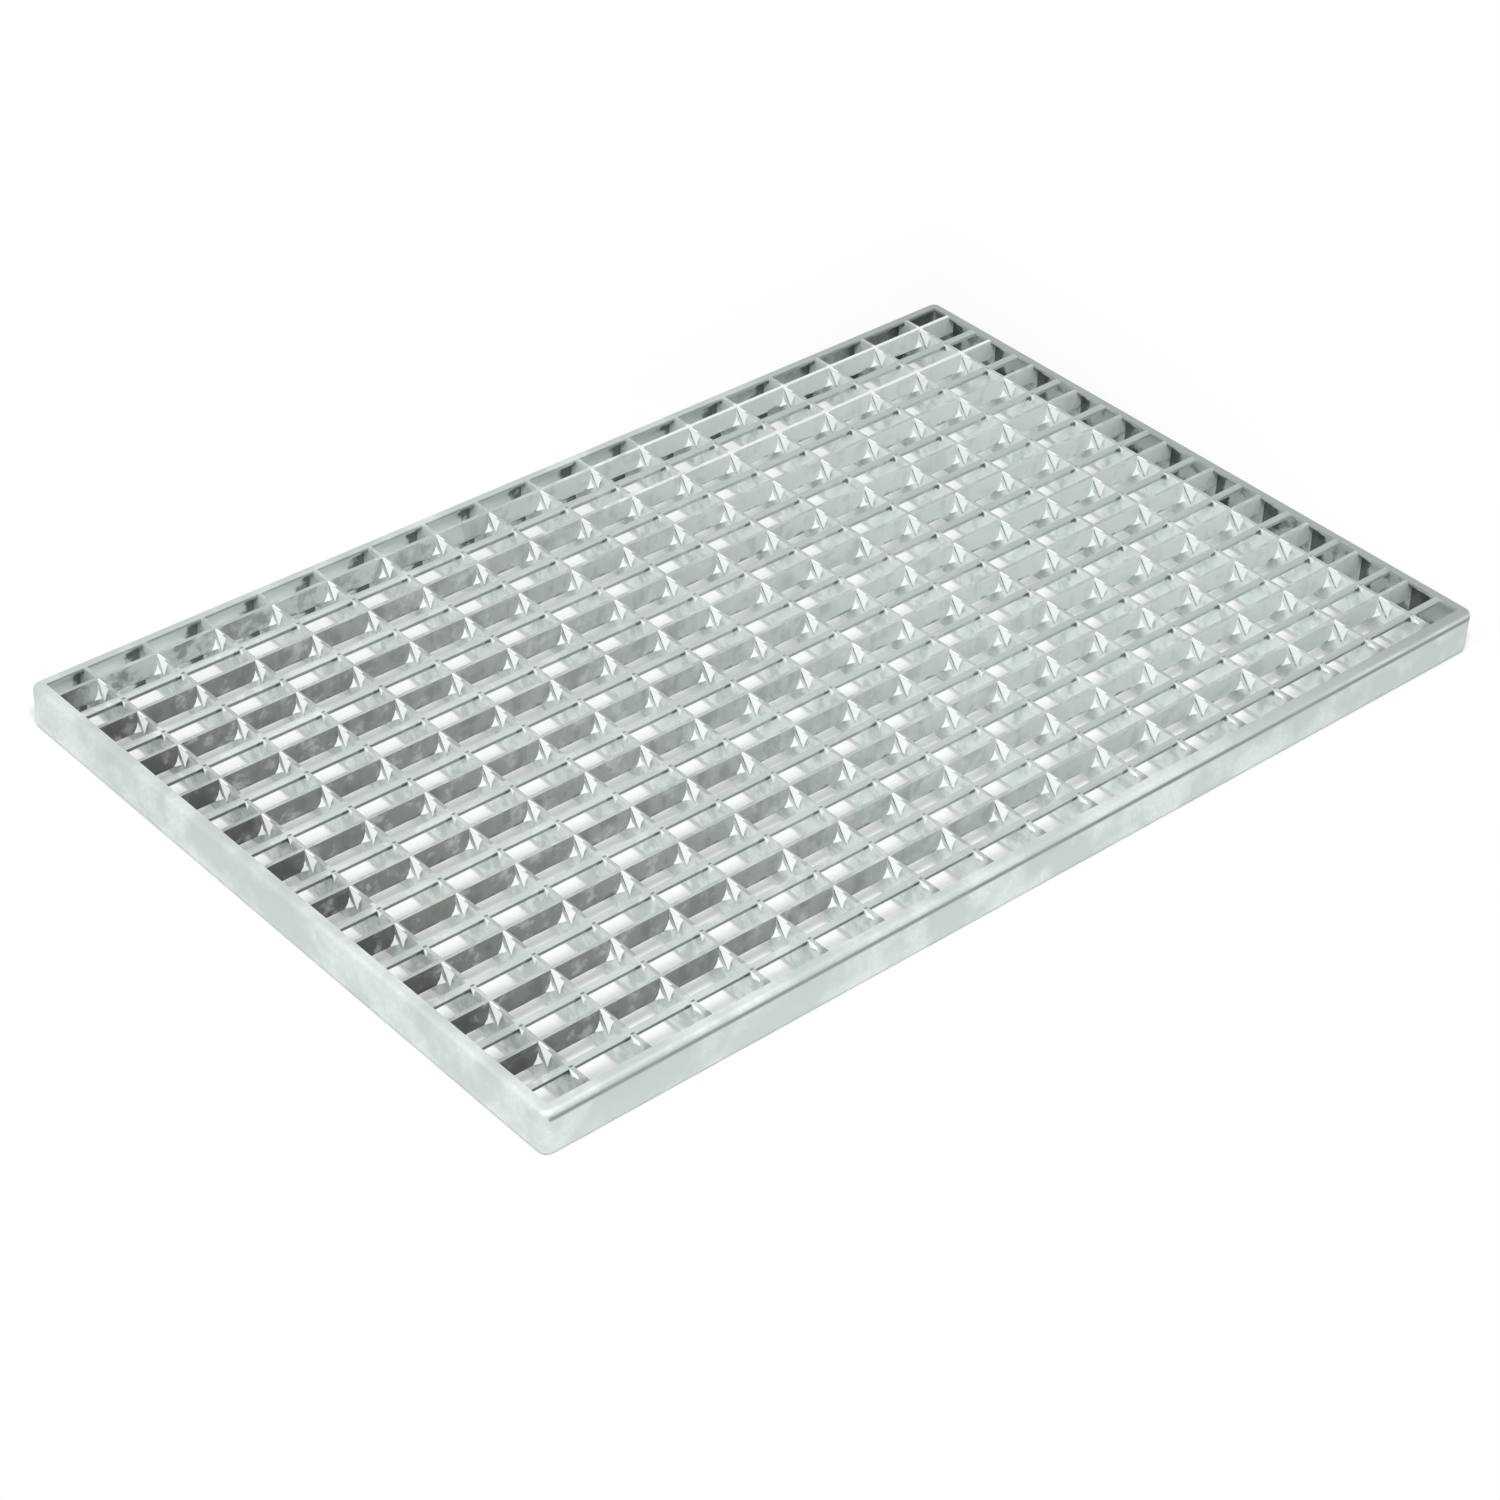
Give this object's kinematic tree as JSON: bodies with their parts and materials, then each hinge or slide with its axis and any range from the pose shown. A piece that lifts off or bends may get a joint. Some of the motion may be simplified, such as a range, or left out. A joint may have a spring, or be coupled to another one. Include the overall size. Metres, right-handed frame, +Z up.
{
  "type": "mesh drain grate",
  "caption": "Rectangular galvanised steel mesh grate of crossing flat bars and thin filler rods in a folded edge channel, lying flat to cover a drain or foot-scraper tray.",
  "frame": {"origin": "middle of the underside, on the floor", "axes": "+X along the long side, +Y along the short side, +Z up"},
  "size_m": [0.59, 0.39, 0.024],
  "materials": {
    "galvanised_steel": "hot-dip galvanised, pale grey with soft mottling"
  },
  "bodies": {
    "root": {"edge_channel_front": "galvanised_steel", "edge_channel_right": "galvanised_steel", "edge_channel_back": "galvanised_steel", "edge_channel_left": "galvanised_steel", "bar_grid": "galvanised_steel"}
  },
  "joints": []
}
